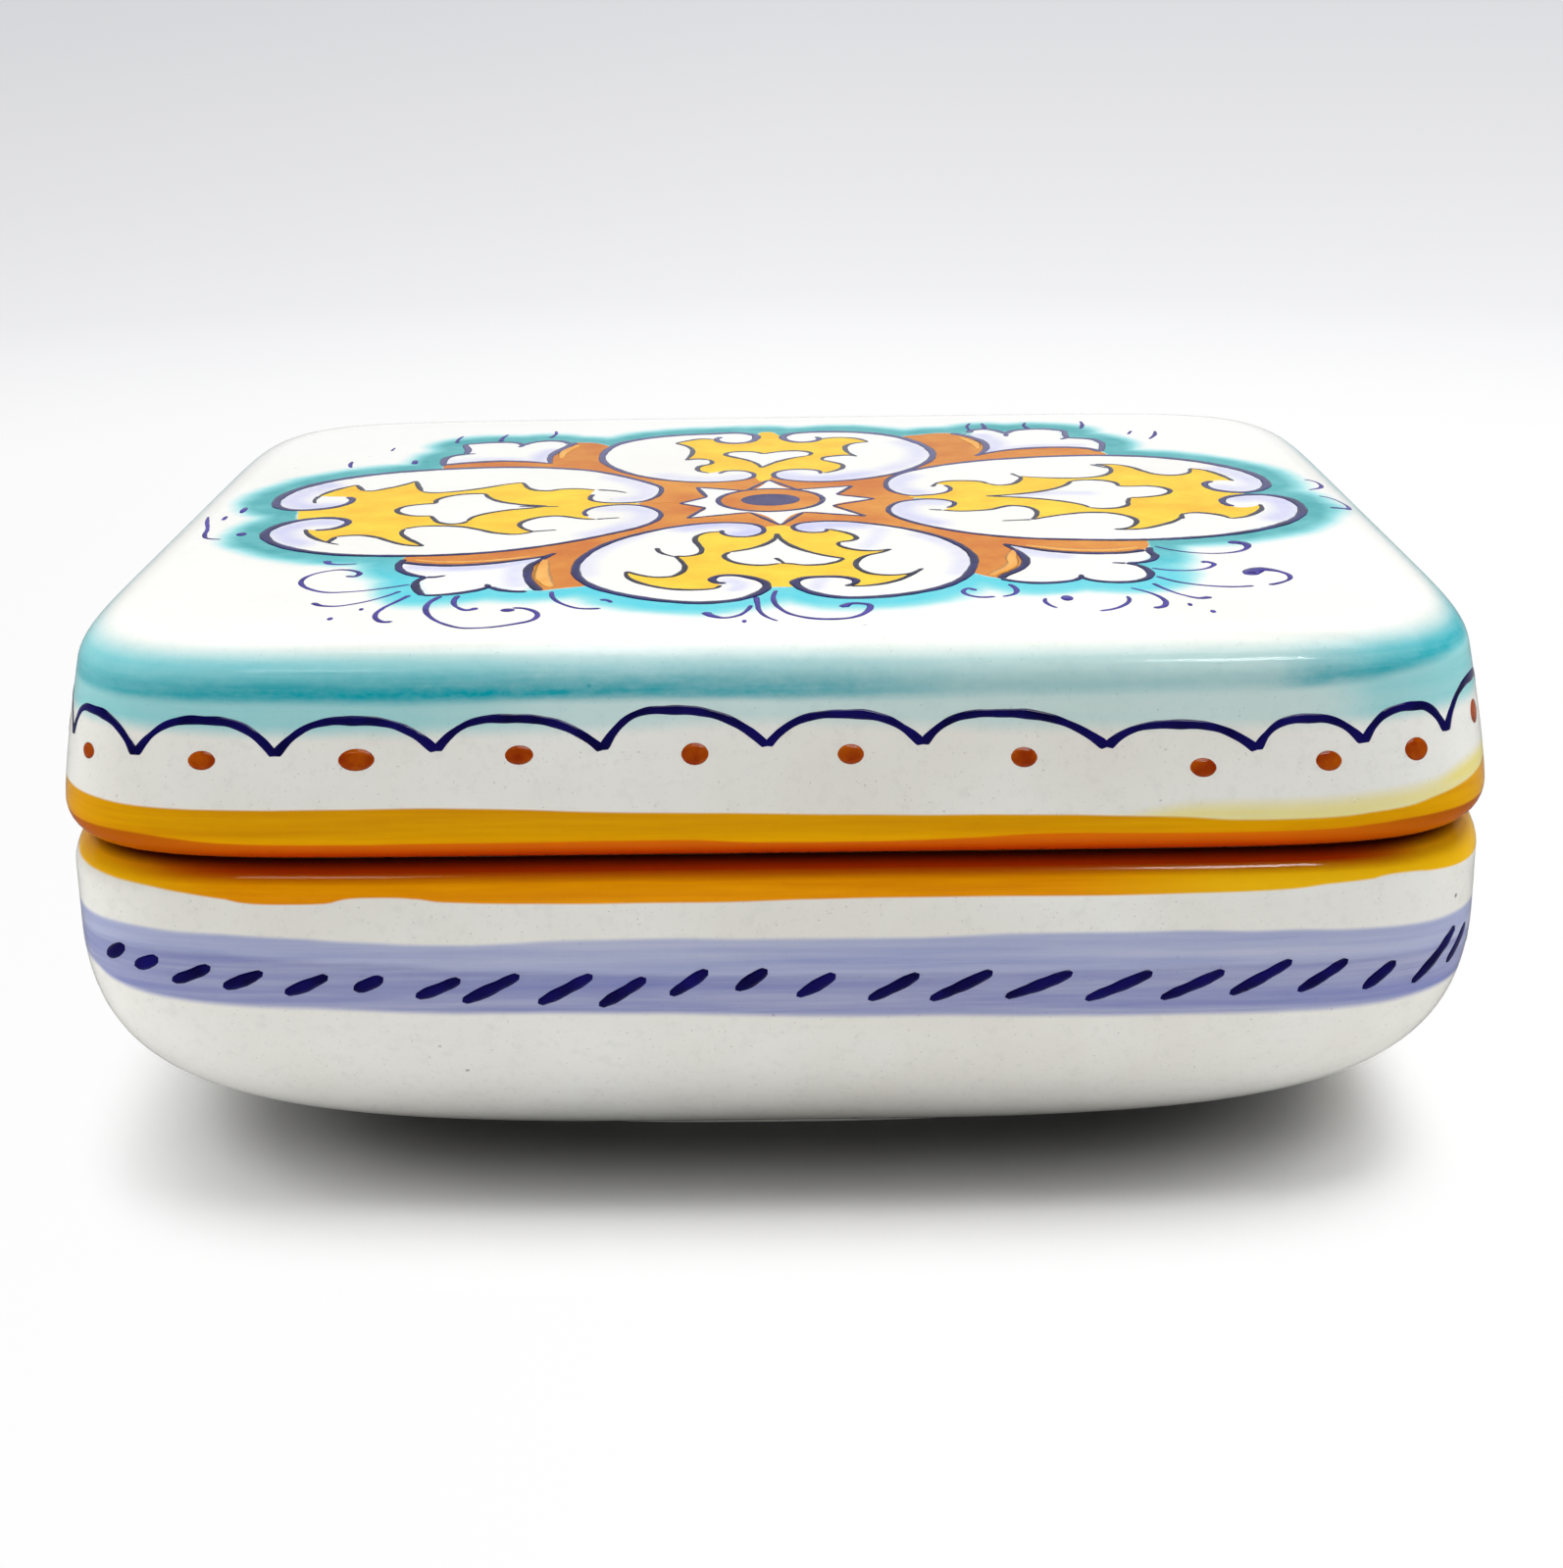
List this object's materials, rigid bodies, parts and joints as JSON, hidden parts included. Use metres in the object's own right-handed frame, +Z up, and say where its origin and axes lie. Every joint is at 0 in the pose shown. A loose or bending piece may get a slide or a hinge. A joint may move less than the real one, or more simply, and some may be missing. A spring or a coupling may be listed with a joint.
{
  "type": "trinket box",
  "caption": "Glazed earthenware trinket box with bowed sides: a footed base and a flat-topped lid that lifts off, held in place by a collar inside the mouth.",
  "frame": {"origin": "on the table under the middle of the box, at the level of the foot ring", "axes": "+Z up, +X along the box's length, and -Y out of the side that faces the viewer in the picture"},
  "size_m": [0.15, 0.13, 0.0614],
  "materials": {
    "base_glaze": "glossy",
    "lid_glaze": "glossy",
    "turquoise_paint": "glossy",
    "cobalt_paint": "glossy",
    "yellow_paint": "glossy",
    "orange_paint": "glossy",
    "periwinkle_paint": "glossy",
    "lavender_paint": "glossy"
  },
  "bodies": {
    "base": {"base": "base_glaze"},
    "lid": {"lid": "lid_glaze"}
  },
  "joints": [
    {"name": "lid_lift", "type": "slide", "parent": "base", "child": "lid", "axis": [0, 0, 1], "range_m": [0, 0.05]}
  ]
}
